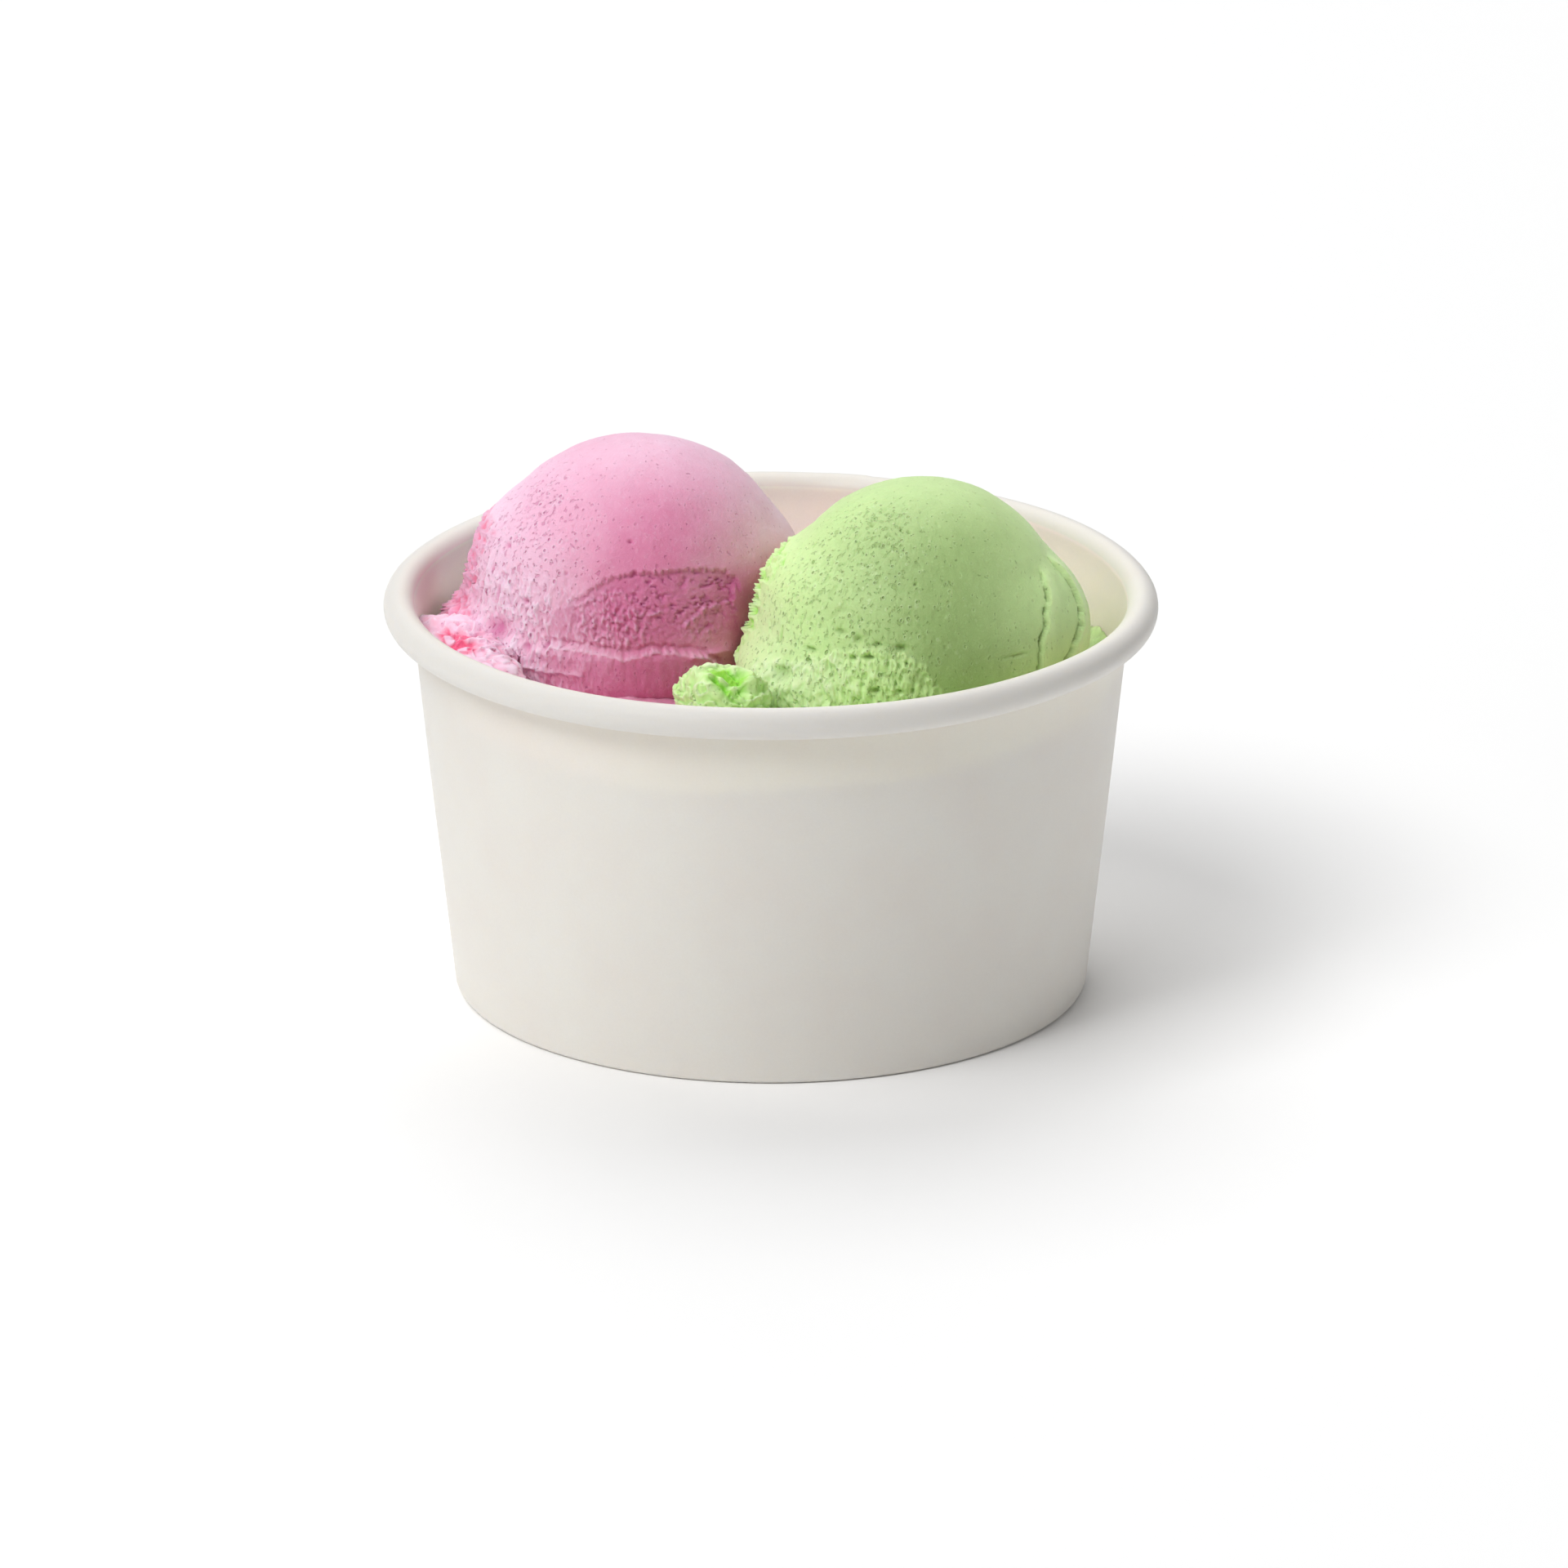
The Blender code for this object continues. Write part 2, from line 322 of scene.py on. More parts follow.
class Finish:
    """A material with a Principled shader."""

    def __init__(self, name):
        self.material = bpy.data.materials.new(name)
        self.material.use_nodes = True
        self.tree = self.material.node_tree
        self.shader = self.tree.nodes["Principled BSDF"]

    def put(self, socket, value):
        """A link if the value is a Wire, and otherwise a plain value."""
        if isinstance(value, Wire):
            self.tree.links.new(value.socket, socket)
        else:
            socket.default_value = value

    def add(self, kind, settings, values, output=0):
        """A node of a kind: its settings first, then the values or links of its sockets."""
        node = self.tree.nodes.new(kind)
        for key, value in settings.items():
            setattr(node, key, value)
        pairs = values.items() if isinstance(values, dict) else enumerate(values)
        for key, value in pairs:
            self.put(node.inputs[key], value)
        return Wire(self, node.outputs[output])

    def shade(self, **values):
        """Sets the shader's own sockets, whose names are given with _ for a space."""
        for key, value in values.items():
            self.put(self.shader.inputs[key.replace("_", " ")], value)

    def attribute(self, name):
        """A value that each point of the mesh carries."""
        return self.add("ShaderNodeAttribute", {"attribute_name": name}, {}, "Fac")

    def place(self):
        """Object coordinates, which are the part's own metres."""
        return self.add("ShaderNodeTexCoord", {}, {}, "Object")

    def noise(self, size, detail=2.0, roughness=0.5):
        """Noise from 0 to 1 whose features are about a size in millimetres."""
        values = {"Vector": self.place(), "Scale": 1 / (size * MM)}
        values.update({"Detail": detail, "Roughness": roughness})
        return self.add("ShaderNodeTexNoise", {}, values)

    def mixed(self, share, first, second):
        """A colour mixed from two colours."""
        settings = {"data_type": "RGBA", "clamp_factor": True}
        return self.add("ShaderNodeMix", settings, {"Factor": share, 6: first, 7: second}, 2)

    def bumped(self, height, distance, strength=1.0):
        """Fine relief: a height from 0 to 1 that stands for a distance in millimetres."""
        values = {"Strength": strength, "Distance": distance * MM, "Height": height}
        return self.add("ShaderNodeBump", {}, values, "Normal")


def linear(code):
    """A colour for a shader from a six-figure code as shown on a screen."""
    shown = [int(code[n : n + 2], 16) / 255 for n in (0, 2, 4)]
    return (*[c / 12.92 if c < 0.04045 else ((c + 0.055) / 1.055) ** 2.4 for c in shown], 1.0)


def paper_finish():
    """White cup board: fine fibres, faint cloudiness, and a roll painted darker as painted shade, to take
    down the light that it catches.

    The coating inside is painted cooler on the strawberry side and warmer on the pistachio side: painted
    light, to cancel the pink and green light that the scoops throw on it.
    """
    paper = Finish("cup_board")
    cloud = paper.noise(9.0, 3.0)
    fibre = paper.noise(0.28, 4.0, 0.65)
    outside = paper.mixed(cloud.spread(0.3, 0.7), linear("E9E3DB"), linear("EBE7DF"))
    across = paper.add("ShaderNodeSeparateXYZ", {}, (paper.place(),))
    # Painted light: the coating is tinted by side, to cancel the coloured light that each scoop throws on
    # the wall.
    coating = paper.mixed(across.spread(-30 * MM, 30 * MM), linear("E6FFE4"), linear("FFEBE8"))
    colour = paper.mixed(paper.attribute("inside"), outside, coating)
    # Painted shade: the outer face of the roll is darker, to take down the light it catches.
    colour = paper.mixed(paper.attribute("roll"), colour, linear("E2DFDA"))
    colour = paper.mixed(fibre.spread(0.35, 0.75) * 0.12, colour, linear("D6CFC3"))
    paper.shade(
        Base_Color=colour,
        Roughness=paper.noise(0.6, 2.0) * 0.12 + 0.46,
        Normal=paper.bumped(fibre, 0.022, 0.5),
        IOR=1.45,
        Subsurface_Weight=0.5,
        Subsurface_Radius=(1.0, 0.9, 0.75),
        Subsurface_Scale=1.0 * MM,
    )
    return paper.material


def gelato_finish(name, body, light, palest, deep, glow):
    """Gelato: body colour, paler up to 1 and palest up to 2 by its pale mark, which is mostly painted
    light, deeper in hollows as painted shade, and glowing where torn as painted light shining through the
    gelato.

    Fine pores are the cores of random cells a fraction of a millimetre apart, where the skin has them.
    """
    gelato = Finish(name)
    frost_and_light = gelato.attribute("frost_and_light")
    hollow = gelato.attribute("hollow")
    torn = gelato.attribute("torn")
    mottle = gelato.noise(1.6, 3.0)
    grain = gelato.noise(0.30, 3.0, 0.7)
    taller = (1.0, 1.0, 0.7)
    streaked = gelato.add("ShaderNodeVectorMath", {"operation": "MULTIPLY"}, (gelato.place(), taller))
    pores = gelato.attribute("pores")
    worn = {"Vector": streaked, "Scale": 1 / (0.55 * MM), "Detail": 2.0, "Roughness": 0.55}
    ragged = gelato.add("ShaderNodeTexNoise", {}, worn)
    pit = (pores * 0.13 + 0.28 - ragged).spread(0.0, 0.06)
    cells = {"Vector": streaked, "Scale": 1 / (0.78 * MM), "Randomness": 1.0}
    away = gelato.add("ShaderNodeTexVoronoi", {}, cells, "Distance")
    chance = gelato.add("ShaderNodeTexVoronoi", {}, cells, "Color")
    size = (chance - 0.3).clipped() * 0.40 + (ragged - 0.5) * 0.3 + 0.04
    share = away / size.at_least(0.02)
    hole = (1 - share.spread(0.6, 1.0)) * pores
    # Rims round the pores: painted highlights in the palest colour, and a little bump.
    rim = (share.spread(0.9, 1.2) - share.spread(1.2, 1.9)) * pores

    # Paler by the pale mark, which is mostly painted light: paler at the scoops' sides, tops and back,
    # deeper at their fronts.
    colour = gelato.mixed((frost_and_light + (mottle - 0.5) * 0.25).clipped(), linear(body), linear(light))
    # Palest where the pale mark passes 1, and painted highlights on the pore rims.
    colour = gelato.mixed((frost_and_light - 1).clipped() + rim * 0.3, colour, linear(palest))
    # Painted shade: deeper colour in hollows, and in the pits and holes of the pores.
    colour = gelato.mixed(hollow.spread(0.05, 1.0) * 0.75, colour, linear(deep))
    colour = gelato.mixed(pit * 0.34 + hole * 0.55, colour, linear(deep))
    # Painted light: torn hollows glow brighter and more saturated, for light shining through the gelato
    # in their shade.
    colour = gelato.mixed(torn, colour, linear(glow))
    colour = gelato.mixed(grain.spread(0.56, 0.74) * 0.25, colour, linear(light))
    fine = grain * 0.35 + gelato.noise(0.9, 3.0) * 0.3 - pit * 0.5 - hole * 0.8 + rim * 0.2 + 1.0
    gelato.shade(
        Base_Color=colour,
        Roughness=gelato.noise(0.7, 2.0) * 0.2 + 0.42,
        Normal=gelato.bumped(fine, 0.19, 1.0),
        IOR=1.36,
        Subsurface_Weight=0.25,
        Subsurface_Radius=(1.0, 0.55, 0.6),
        Subsurface_Scale=1.4 * MM,
        Sheen_Weight=0.1,
        Sheen_Roughness=0.5,
    )
    return gelato.material


# The paper cup


def wall_radius(height):
    """The outside radius of the wall at a height, which grows evenly from the foot to the roll."""
    return FOOT_RADIUS + WALL_SLOPE * height


def arc(centre, radius, start, end, count):
    """Points on an arc, between two angles."""
    angle = np.radians(np.linspace(start, end, count))
    return np.stack([centre[0] + radius * np.cos(angle), centre[1] + radius * np.sin(angle)], -1)


def straight(start, end, count):
    """Even points between two points, without the ends."""
    share = np.linspace(0, 1, count + 2)[1:-1, None]
    return np.array(start) + (np.array(end) - np.array(start)) * share


def offset_line(line, distance):
    """A line moved sideways by a distance, along the mean normal at each point."""
    along = np.gradient(line, axis=0)
    along /= np.linalg.norm(along, axis=1)[:, None]
    return line + distance * np.stack([-along[:, 1], along[:, 0]], -1)


def cup_line():
    """The middle of the board: down the hem's fold, round the foot, up the wall and round the roll."""
    half = BOARD / 2
    bend = 0.45
    inner = FOOT_RADIUS - HEM_THICKNESS + half + bend
    outer = FOOT_RADIUS - half - bend
    level = half + bend
    curl = ROLL_RADIUS - half
    wall_top = (ROLL_CENTRE[0] - curl, ROLL_CENTRE[1])
    fold_top = (inner - bend + WALL_SLOPE * HEM_HEIGHT, HEM_HEIGHT)
    pieces = [
        [fold_top],
        straight(fold_top, (inner - bend, level), 7),
        arc((inner, level), bend, 180, 270, 7),
        arc((outer, level), bend, 270, 360, 7),
        straight((outer + bend, level), wall_top, 26),
        arc(ROLL_CENTRE, curl, 180, 180 - ROLL_TURN, 36),
    ]
    return np.vstack(pieces)


def lathe(name, profile, columns, material, attributes, lift=None):
    """A closed profile of (radius, height) turned about Z. lift moves each point outward and up."""
    around = np.linspace(-math.pi, math.pi, columns + 1)[:-1]
    radius = np.repeat(profile[:, :1], columns, axis=1)
    height = np.repeat(profile[:, 1:], columns, axis=1)
    if lift is not None:
        more_radius, more_height = lift(radius, height, np.degrees(around)[None, :])
        radius = radius + more_radius
        height = height + more_height
    points = np.stack([radius * np.cos(around), radius * np.sin(around), height], -1)
    rows = len(profile)
    faces = grid_faces(rows, columns)
    column = np.arange(columns)
    after = (column + 1) % columns
    last = (rows - 1) * columns
    closing = np.stack([last + column, column, after, last + after], -1)
    spread = {key: np.repeat(values[:, None], columns, axis=1) for key, values in attributes.items()}
    return new_piece(name, points.reshape(-1, 3), [np.vstack([faces, closing])], material, spread)


def cup_wall_lift(radius, height, azimuth):
    """The side seam at the back, where the board overlaps itself, and a rim that isn't quite true.

    The overlap is a step outward over ten degrees. The rim sways and dips by smooth noise round the
    cup, more with height.
    """
    outer = ease(radius - (wall_radius(height) - BOARD), 0.1, 0.4)
    seam = 0.28 * ease(azimuth, 74.0, 74.5) * ease(azimuth, 84, 79)
    place = direction(azimuth, 0 * azimuth)
    high = ease(height, 20, CUP_HEIGHT)
    sway = high * 0.16 * (drift(place, 0.7, 5) - 1)
    dip = high * 0.22 * (drift(place, 0.8, 6) - 1)
    return outer * seam + sway, dip


def make_cup(paper):
    """The board: the middle line thickened by half a board on each side, and turned. Then the bottom.

    The bottom is a round board, turned down at its edge into a skirt that hangs inside the hem.
    """
    line = cup_line()
    left = offset_line(line, BOARD / 2)
    right = offset_line(line, -BOARD / 2)
    profile = np.vstack([left, right[::-1]])
    inside = np.concatenate([np.ones(len(left)), np.zeros(len(right))])
    within = wall_radius(profile[:, 1]) - profile[:, 0]
    inside = inside * (within > 0.6 * BOARD) * (profile[:, 1] < CUP_HEIGHT - 0.6 * ROLL_RADIUS)
    from_roll = np.linalg.norm(profile - np.array(ROLL_CENTRE), axis=1)
    outward = ease(profile[:, 0], RIM_RADIUS - 1.2 * ROLL_RADIUS, RIM_RADIUS - 0.6 * ROLL_RADIUS)
    # The roll mark is the outer face of the roll, which the finish paints darker as painted shade.
    marks = {"inside": inside, "roll": ease(from_roll, 1.5 * ROLL_RADIUS, ROLL_RADIUS) * outward}
    wall = lathe("cup_wall_board", profile, 360, paper, marks, cup_wall_lift)
    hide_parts("cup_wall")

    outside, skirt = BOARD + 0.3, 0.4
    middle = 0.05
    under = BASE_TOP - BOARD
    edge = (wall_radius(BASE_TOP) - outside, BASE_TOP)
    bend = wall_radius(under) - outside - skirt
    profile = np.vstack(
        [
            [(middle, BASE_TOP)],
            straight((middle, BASE_TOP), edge, 12),
            [edge],
            [(wall_radius(SKIRT_BOTTOM) - outside, SKIRT_BOTTOM)],
            [(wall_radius(SKIRT_BOTTOM) - outside - skirt, SKIRT_BOTTOM)],
            [(bend - 0.4, under - 0.4)],
            [(bend - 1.0, under)],
            straight((bend - 1.0, under), (middle, under), 12),
            [(middle, under)],
        ]
    )
    plain = np.zeros(len(profile))
    base = lathe("cup_base_board", profile, 180, paper, {"inside": plain, "roll": plain})
    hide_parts("cup_base")


# The gelato


def new_gelato(name, scoop, points, material, tints):
    """A piece of gelato from a grid whose first and last rows are poles, in place of its scoop's node,
    which it hides.
    """
    vertices, faces, kept = poled(points, tints)
    piece = new_piece(name, vertices, faces, material, kept)
    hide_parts(scoop["node"])


def seam_distance(x, y):
    """How far a point lies beyond the seam, on the pistachio side. The seam bows at the front."""
    nx, ny = math.cos(math.radians(SEAM_NORMAL)), math.sin(math.radians(SEAM_NORMAL))
    along = y * nx - x * ny
    return x * nx + y * ny - SEAM_DISTANCE + SEAM_BOW * ease(-along, 0, SEAM_BOW_SPAN)


def reach(scoop, azimuth, height, clearance=0.1):
    """How far from a scoop's axis its flavour runs: to the cup's wall or to the seam."""
    x, y, _ = scoop["centre"]
    dx, dy = np.cos(np.radians(azimuth)), np.sin(np.radians(azimuth))
    inside = wall_radius(height) - BOARD - WALL_GAP
    towards = x * dx + y * dy
    far = -towards + np.sqrt(towards**2 - x * x - y * y + inside**2)
    near = np.zeros_like(far)
    for _ in range(26):
        middle = (near + far) / 2
        beyond = scoop["side"] * seam_distance(x + middle * dx, y + middle * dy)
        near = np.where(beyond > clearance, middle, near)
        far = np.where(beyond > clearance, far, middle)
    return near


def in_cup(points):
    """Points kept 0.15 mm off the inside of the cup's wall, below its rim."""
    out = np.hypot(points[..., 0], points[..., 1])
    most = wall_radius(np.minimum(points[..., 2], CUP_HEIGHT)) - BOARD - 0.15
    share = np.minimum(1, most / np.maximum(out, 1e-6))
    return points * np.stack([share, share, np.ones_like(share)], -1)


def make_bed(name, scoop, material, seed, swells):
    """A flavour's filling: out over the bed from the scoop's axis, down the wall, in along the floor.

    The bed's height is its level plus slow waves, noise and folds, less pores and a dip along the seam,
    plus swells. A swell is a place, a height, a half length and a half width, and its turn. A low kerb
    runs along the wall, except where the bed dips, at the front and a little at the right.
    """
    columns, top_rows, side_rows = 360, 72, 8
    azimuth = np.linspace(-180, 180, columns + 1)[:-1]
    edge = reach(scoop, azimuth, np.full(columns, BED_LEVEL))
    cx, cy, _ = scoop["centre"]
    dx, dy = np.cos(np.radians(azimuth)), np.sin(np.radians(azimuth))
    share = np.linspace(0, 1, top_rows)[:, None] ** 0.8
    out = edge * share
    x, y = cx + out * dx, cy + out * dy
    flat = np.stack([x, y, np.zeros_like(x)], -1)
    wave = np.sin(x / 6.5 + 0.8) * np.cos(y / 7.5 - 0.4)
    rough = drift(flat, 4.5, seed, 4)
    smear = sharp_folds(flat * (0.45, 1.0, 1.0), 2.6, seed + 1, 2)
    pores = dents(flat, 1.7, seed + 2, 0.12, 0.42)
    up = BED_LEVEL + 0.6 * wave + 0.5 * rough + 0.35 * (smear - 0.5) - 0.4 * pores
    for lump_x, lump_y, height, length, width, turn in swells:
        c, s = math.cos(math.radians(turn)), math.sin(math.radians(turn))
        along = ((x - lump_x) * c + (y - lump_y) * s) / length
        across = ((y - lump_y) * c - (x - lump_x) * s) / width
        up = up + height * ease(np.hypot(along, across), 1.35, 0.4)
    up = up - 1.0 * ease(np.abs(seam_distance(x, y)), 2.2, 0.0)
    wall_near = wall_radius(BED_LEVEL) - BOARD - np.hypot(x, y)
    around = np.degrees(np.arctan2(y, x))
    front, right = hump(around, -95, 45), hump(around, 8, 34)
    kerb = (0.9 + 0.6 * drift(flat, 6.0, seed + 3)) * ease(wall_near, 2.5, 0.2)
    up = up + kerb * (1 - front) - 1.8 * front - 1.3 * right * ease(wall_near, 12, 4)

    floor = BASE_TOP + 0.3
    share = np.linspace(0, 1, side_rows + 1)[1:, None]
    side_up = up[-1] + (floor - up[-1]) * share
    side_out = np.minimum(reach(scoop, azimuth, side_up), edge)
    out = np.vstack([out, side_out, 0 * edge[None]])
    up = np.vstack([up, side_up, side_up[-1:]])
    points = in_cup(np.stack([cx + out * dx, cy + out * dy, up], -1))
    plain = np.zeros((side_rows + 1, columns))
    # Painted shade: deeper in the pores and low places of the bed. It is paler along the smear folds on
    # raised places.
    deep = np.vstack([0.55 * pores + 0.4 * ease(rough, 0.1, -0.6), plain])
    pale = np.vstack([0.25 + 0.5 * smear * ease(rough, -0.2, 0.5), plain])
    tints = {"hollow": deep, "frost_and_light": pale, "torn": 0 * deep, "pores": 0.3 + 0 * deep}
    new_gelato(name, scoop, points, material, tints)


# The scoops


def scoop_grid():
    """Directions from the top down, closer together where the skin is roughest: low at the front left.

    The azimuth is t - 26 sin(t - t0), so that columns crowd round t0.
    """
    t = np.linspace(-180, 180, 611)[:-1]
    azimuth = t - 26 * np.sin(np.radians(t + 118))
    share = np.linspace(0, 1, 160)
    elevation = np.interp(share, [0, 0.28, 0.94, 1], [90, 43, -19, -28])[:, None]
    a, e = np.broadcast_arrays(azimuth, elevation)
    return a, e, direction(a, e)


def make_scoop(name, scoop, material, flares, relief):
    """A ball whose radius in each direction is its own, plus its flares, plus its surface relief.

    A flare is an azimuth and a width, the elevations where it starts and is full, and a depth. Where
    a scoop would pass the wall or the seam it is pressed flat against it.
    """
    a, e, way = scoop_grid()
    radius = scoop["radius"] + 0 * a
    for centre, width, start, full, depth in flares:
        radius = radius + depth * hump(a, centre, width) * ease(e, start, full)
    height, tints = relief(a, e, way)
    flat = np.cos(np.radians(e))
    edge = reach(scoop, a[0], np.full(a.shape[1], BED_LEVEL)) - 0.2
    out = smaller(radius * flat, edge[None, :], 0.6)
    pressed = ease(edge[None, :] - out, 0.0, 1.2)
    height = height * np.where(e > 20, 1.0, 0.25 + 0.75 * pressed)
    around = np.radians(a)
    up = radius * np.sin(np.radians(e))
    points = np.stack([out * np.cos(around), out * np.sin(around), up], -1)
    points = points + way * height[..., None]
    points[0] = points[0, :1]
    bottom = np.array([0.0, 0.0, points[-1, :, 2].min() - 1.0])
    points = np.concatenate([points, np.broadcast_to(bottom, (1, points.shape[1], 3))])
    points = in_cup(points + scoop["centre"])
    top = corner_mm(scoop["node"], 1)[2]
    points[..., 2] = smaller(points[..., 2], top, 0.15)
    tints = {key: np.vstack([values, values[-1:]]) for key, values in tints.items()}
    new_gelato(name, scoop, points, material, tints)


def dig(a, e, marks, height, hollow, bite, tint):
    """Soft oval hollows in a scoop's skin, and what share of the skin they leave whole.

    A mark is an azimuth and an elevation, a half width, a half height and a depth. By the share
    exp(-1.5 d^2) the height gives way to -bite times the depth, and the hollow grows by tint, which the
    finish paints deeper as painted shade.
    """
    whole = np.ones(np.shape(a))
    for a0, e0, half_width, half_height, depth in marks:
        mark = spot(a, e, a0, e0, half_width, half_height) ** 1.5
        height = height * (1 - mark) - bite * depth * mark
        hollow = hollow + tint * mark
        whole = whole * (1 - mark)
    return height, hollow, whole


def teeth(a, e, place, pitch, seed):
    """Torn shelves one above another: each grows outward up to its top edge, then breaks off."""
    level = e * DEGREE / pitch + 0.6 * drift(place, 2.6, seed, 2) + 0.004 * a
    floor = np.floor(level).astype(np.int64)
    size = 0.35 + 0.65 * scrambled(np.stack([floor, 0 * floor, 0 * floor], -1), seed)
    return (level - floor) ** 1.5 * size


def painted_light_paleness(way, place, azimuth, elevation, left, right, seed):
    """How pale a scoop is painted, as painted light: 0 round one direction at its front and straight
    below it, near 1 far off, so that its sides, top and back read as lit and its front as shaded.

    With v the height above that direction in its own upright plane, the angle away is acos(f) above
    it and atan2(|across|, front) below it. The paleness is 1 - exp(-(angle / width)^2) plus a little
    noise.
    """
    around, up = math.radians(azimuth), math.radians(elevation)
    x, y, z = np.moveaxis(way, -1, 0)
    ahead = x * math.cos(around) + y * math.sin(around)
    across = y * math.cos(around) - x * math.sin(around)
    front = ahead * math.cos(up) + z * math.sin(up)
    v = z * math.cos(up) - ahead * math.sin(up)
    above = np.arccos(np.clip(front, -1, 1))
    below = np.arctan2(np.abs(across), np.hypot(front, v) * np.sign(front))
    width = np.radians(left + (right - left) * ease(across, -0.3, 0.3))
    frost_and_light = 1 - np.exp(-((np.where(v > 0, above, below) / width) ** 2))
    frost_and_light = frost_and_light * (1 - 0.2 * ease(z, 0.4, 0.95)) + 0.12 * drift(place, 12.0, seed, 2)
    return np.clip(frost_and_light, 0, 1)


def scoop_skin(place, seed, pores, crust, upright):
    """A scoop's skin in millimetres, its hollows, which the finish paints deeper as painted shade, and
    its pale crests, partly icy and partly painted highlight.

    Pores are small ragged dents, in clumps, with a few round holes. Crust is crumbly: lumps, creases
    and chips, drawn out upright.
    """
    height = 0.16 * drift(place, 8.0, seed) + 0.08 * drift(place, 3.4, seed + 1)
    height = height + 0.022 * drift(place, 0.6, seed + 2, 2)
    clump = np.clip(0.7 + 0.9 * drift(place, 4.2, seed + 6), 0, 1.1)
    ragged = drift(place * (1.0, 1.0, 0.7), 0.85, seed + 3, 2)
    worn = ease(ragged, -0.10, -0.55)
    holes = dents(place, 2.6, seed + 5, 0.05, 0.17)
    pits = pores * clump
    height = height - 0.16 * worn * pits - 0.4 * holes * (0.2 + 0.8 * pores)
    streaks = place * (1.25, 1.25, upright)
    lumps = drift(streaks, 1.15, seed + 8, 3)
    creases = sharp_folds(streaks, 1.0, seed + 7, 2)
    chips = dents(streaks, 0.9, seed + 9, 0.10, 0.44)
    height = height + crust * (0.30 * lumps + 0.24 * (creases - 0.45) - 0.38 * chips)
    # Painted shade: pits, holes, chips and low lumps are marked as hollows.
    hollow = pits * 0.22 * worn + 0.7 * holes * (0.2 + 0.8 * pores)
    hollow = hollow + crust * (0.3 * chips + 0.12 * ease(lumps, 0.0, -0.8))
    # Crests: paler ridge tops of the crust, partly icy and partly painted highlight.
    crest = crust * ease(creases + 0.8 * lumps, 0.4, 1.2)
    return height, np.clip(hollow, 0, 1), crest


